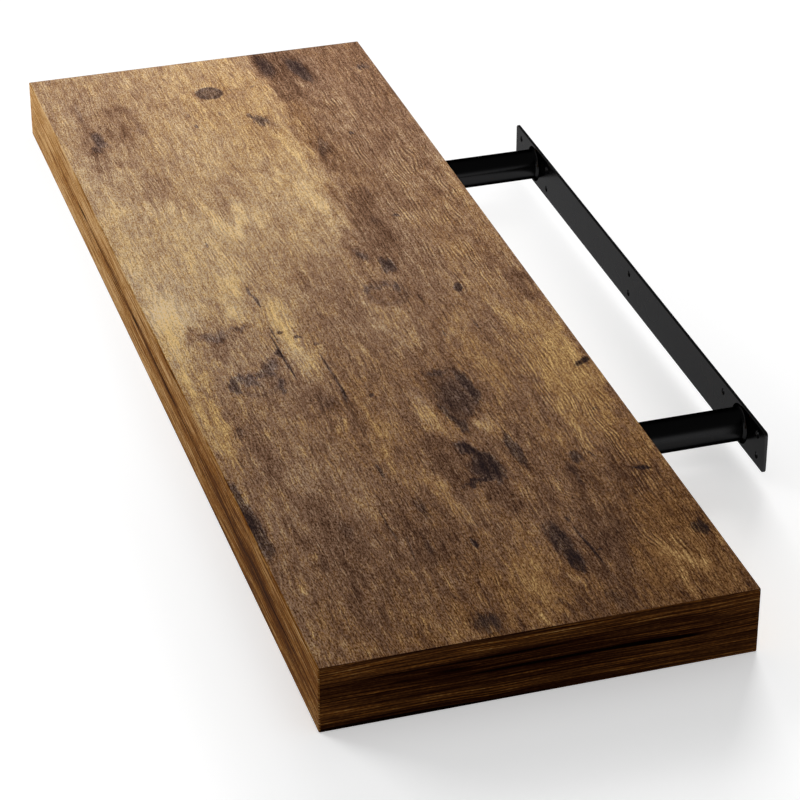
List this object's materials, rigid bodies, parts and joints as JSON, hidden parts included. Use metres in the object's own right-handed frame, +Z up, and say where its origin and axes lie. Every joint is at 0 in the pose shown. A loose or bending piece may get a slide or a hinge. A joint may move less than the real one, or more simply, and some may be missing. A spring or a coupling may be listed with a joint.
{
  "type": "floating wall shelf",
  "caption": "Thick straight floating shelf in dark rustic wood look, on a hidden black steel bracket whose plate screws to the wall and whose tubes slide into the board.",
  "frame": {"origin": "centre of the wall plate's back face, the face that is screwed to the wall", "axes": "+X along the shelf to the right as seen by someone who faces the wall, +Y into the wall, +Z up"},
  "size_m": [0.914, 0.3855, 0.049],
  "materials": {
    "wood_laminate": "satin printed laminate, rustic brown",
    "wood_edge_band": "satin printed edge band, rustic brown",
    "fibreboard": "raw fibreboard",
    "chipboard": "raw chipboard",
    "kraft_honeycomb": "unbleached kraft paper",
    "black_steel": "glossy black powder coat"
  },
  "bodies": {
    "bracket": {"wall_plate": "black_steel", "left_tube": "black_steel", "right_tube": "black_steel", "left_weld": "black_steel", "right_weld": "black_steel"},
    "board": {"top_laminate": "wood_laminate", "bottom_laminate": "wood_laminate", "front_edge_band": "wood_edge_band", "left_edge_band": "wood_edge_band", "right_edge_band": "wood_edge_band", "top_panel": "fibreboard", "bottom_panel": "fibreboard", "front_rail": "chipboard", "left_end_rail": "chipboard", "right_end_rail": "chipboard", "left_back_rail": "chipboard", "centre_back_rail": "chipboard", "right_back_rail": "chipboard", "left_socket_block": "chipboard", "right_socket_block": "chipboard", "left_honeycomb": "kraft_honeycomb", "centre_honeycomb": "kraft_honeycomb", "right_honeycomb": "kraft_honeycomb"}
  },
  "joints": [
    {"name": "board_slide", "type": "slide", "parent": "bracket", "child": "board", "axis": [0, -1, 0], "range_m": [-0.0875, 0.15]}
  ]
}
